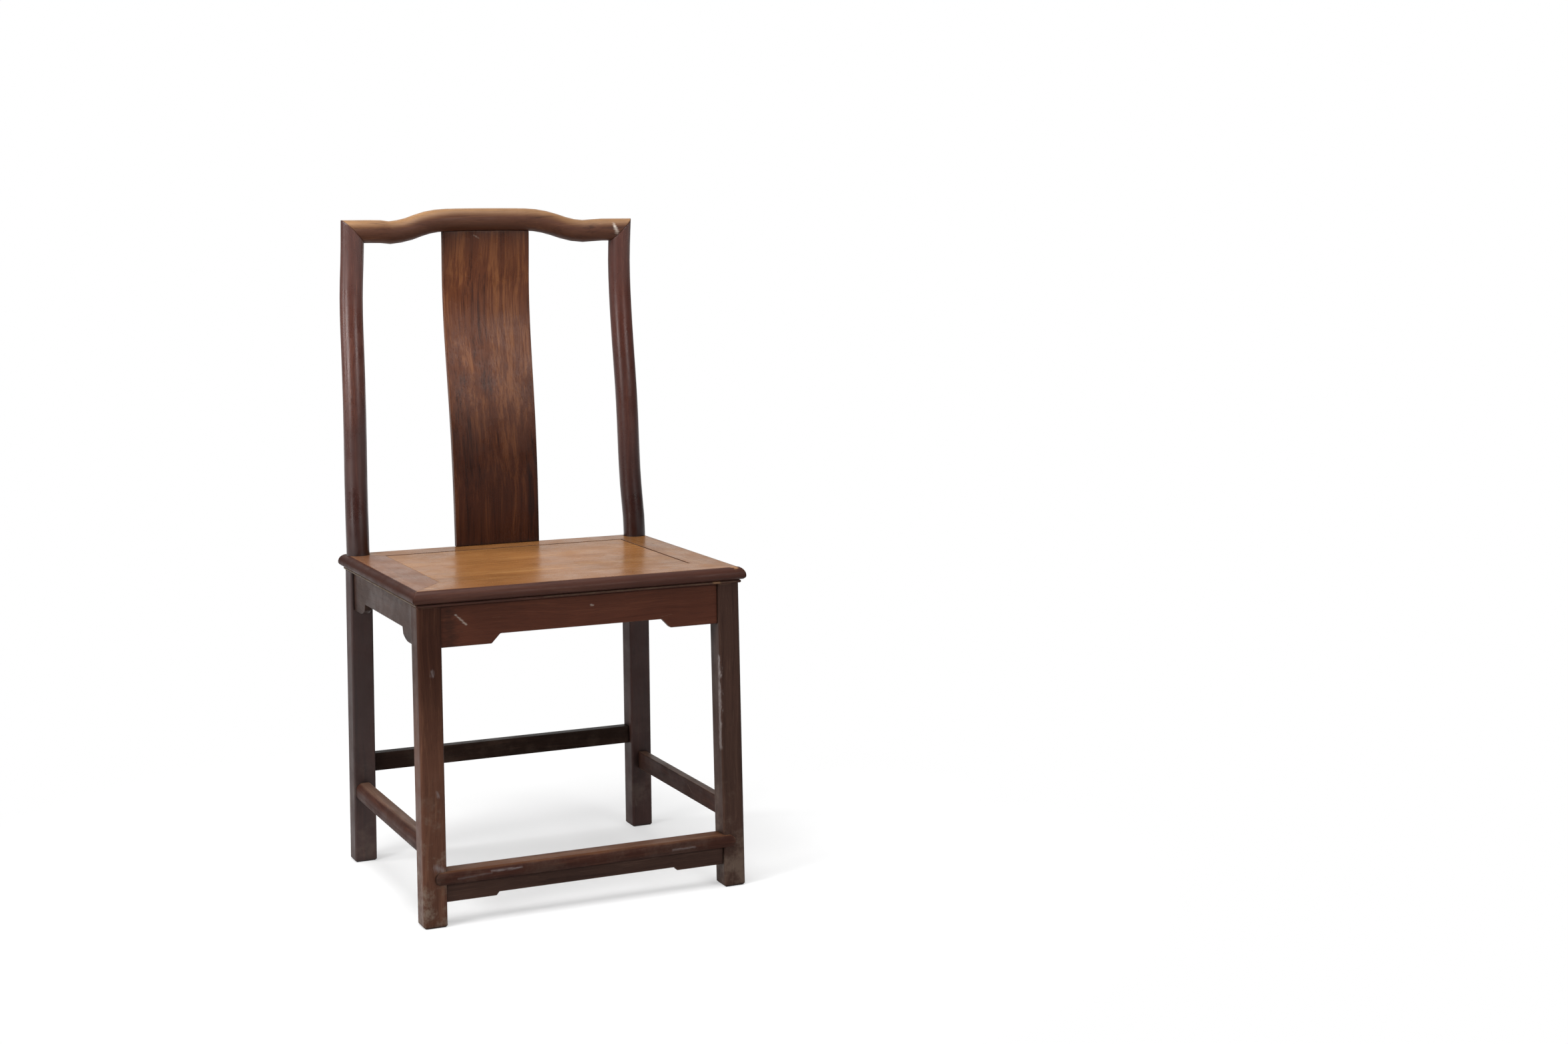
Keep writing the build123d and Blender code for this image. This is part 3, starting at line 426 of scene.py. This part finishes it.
for node in nodes.values():
    weld = node.modifiers.new("weld", "WELD")
    weld.merge_threshold = WELD_REACH
    bevel = node.modifiers.new("eased", "BEVEL")
    bevel.width = EASED
    bevel.segments = EASED_SEGMENTS
    bevel.limit_method = "ANGLE"
    bevel.angle_limit = EASED_FROM
    bevel.use_clamp_overlap = True
    bevel.harden_normals = False
    for polygon in node.data.polygons:
        polygon.use_smooth = True
    normals = node.modifiers.new("normals", "WEIGHTED_NORMAL")
    normals.keep_sharp = False


# ---------------------------------------------------------------- studio

WHITE = (1, 1, 1, 1)
FLOOR_HALF = 12.0
FLOOR_PAINT = (0.54, 0.54, 0.54, 1)
FLOOR_LIFT = 0.42
SHADOW_REACH, WHITE_FROM = 0.42, 1.0    # metres from the origin
TO_BACKDROP = (0.22, 0.82, 0.53)        # above and behind the chair
# a ramp's low and high share of that direction, and the strengths there
ROOM = (0.3, 0.98, 0.08, 0.62)
MIRRORED_ROOM = (0.72, 1.0, 0.1, 1.0)

# name, place, aim, size and watts
LAMPS = [
    ("softbox_above", (-0.5, -0.75, 2.7), (0, 0, 0.4), (1.6, 1.2), 45),
    ("softbox_top", (0.1, -0.05, 2.6), (0.1, 0.0, 0.4), (1.5, 1.2), 22),
    ("softbox_left", (-2.3, -0.8, 1.6), (0, 0, 0.9), (1.0, 1.5), 43),
    ("strip_left", (-2.3, 0.6, 1.6), (0, 0, 0.9), (0.6, 1.5), 24),
    ("softbox_front", (1.2, -2.8, 1.68), (0, 0, 0.74), (1.2, 0.7), 30),
]

# fitted to the photograph: millimetres, metres, and radians about z, x and the line of sight
CAMERA_LENS = 52.10
CAMERA_SENSOR = 36.0
CAMERA_PLACE = (-1.1173, -3.2426, 1.0095)
CAMERA_HEADING, CAMERA_TILT, CAMERA_ROLL = -0.4426, 1.43384, -0.005


def studio_floor():
    """Paint that takes the chair's shadow, lifted for seen rays and white to them further off."""
    g = Graph(bpy.data.materials.new("studio_floor"))
    spot = g.add("TexCoord").outputs["Object"]
    away = g.add("VectorMath", {0: spot}, operation="LENGTH").outputs["Value"]
    clear = g.ramp(away, SHADOW_REACH, WHITE_FROM)
    seen = g.math("MAXIMUM", *g.straight_and_mirrored())
    paint = g.add("BsdfDiffuse", {"Color": FLOOR_PAINT}).outputs[0]
    strength = g.math("MULTIPLY", seen, FLOOR_LIFT)
    lift = g.add("Emission", {"Color": WHITE, "Strength": strength}).outputs[0]
    near = g.add("AddShader", {0: paint, 1: lift}).outputs[0]
    white = g.add("Emission", {"Color": WHITE, "Strength": 1.0}).outputs[0]
    far = g.math("MULTIPLY", seen, clear)
    return g.output("Material", g.add("MixShader", {0: far, 1: near, 2: white}).outputs[0])


def studio_world():
    """Backdrop that is white to straight rays, and to mirrored ones white above and behind only.

    It also lights the chair most from above and behind.
    """
    g = Graph(bpy.data.worlds.new("studio"))
    lit = g.dot(g.add("TexCoord").outputs["Generated"], TO_BACKDROP)
    straight, mirrored = g.straight_and_mirrored()
    strength = g.mix_values(mirrored, g.ramp(lit, *ROOM), g.ramp(lit, *MIRRORED_ROOM))
    strength = g.mix_values(straight, strength, 1.0)
    backdrop = g.add("Background", {"Color": WHITE, "Strength": strength}).outputs[0]
    return g.output("World", backdrop)


floor_mesh = bpy.data.meshes.new("floor")
floor_mesh.from_pydata([(-FLOOR_HALF, -FLOOR_HALF, 0), (FLOOR_HALF, -FLOOR_HALF, 0),
                        (FLOOR_HALF, FLOOR_HALF, 0), (-FLOOR_HALF, FLOOR_HALF, 0)],
                       [], [(0, 1, 2, 3)])
floor_mesh.materials.append(studio_floor())
floor = bpy.data.objects.new("floor", floor_mesh)
scene.collection.objects.link(floor)

scene.world = studio_world()

for name, place, aim, size, watts in LAMPS:
    lamp_data = bpy.data.lights.new(name, "AREA")
    lamp_data.shape = "RECTANGLE"
    lamp_data.size, lamp_data.size_y = size
    lamp_data.energy = watts
    lamp = bpy.data.objects.new(name, lamp_data)
    lamp.location = place
    lamp.rotation_euler = (Vector(aim) - Vector(place)).to_track_quat("-Z", "Y").to_euler()
    scene.collection.objects.link(lamp)

camera_data = bpy.data.cameras.new("camera")
camera_data.lens = CAMERA_LENS
camera_data.sensor_width = CAMERA_SENSOR
camera_data.sensor_fit = "HORIZONTAL"
camera = bpy.data.objects.new("camera", camera_data)
camera.location = CAMERA_PLACE
turn = (Matrix.Rotation(CAMERA_HEADING, 3, "Z") @ Matrix.Rotation(CAMERA_TILT, 3, "X")
        @ Matrix.Rotation(CAMERA_ROLL, 3, "Z"))
camera.rotation_euler = turn.to_euler()
scene.collection.objects.link(camera)
scene.camera = camera

scene.view_settings.view_transform = "Standard"
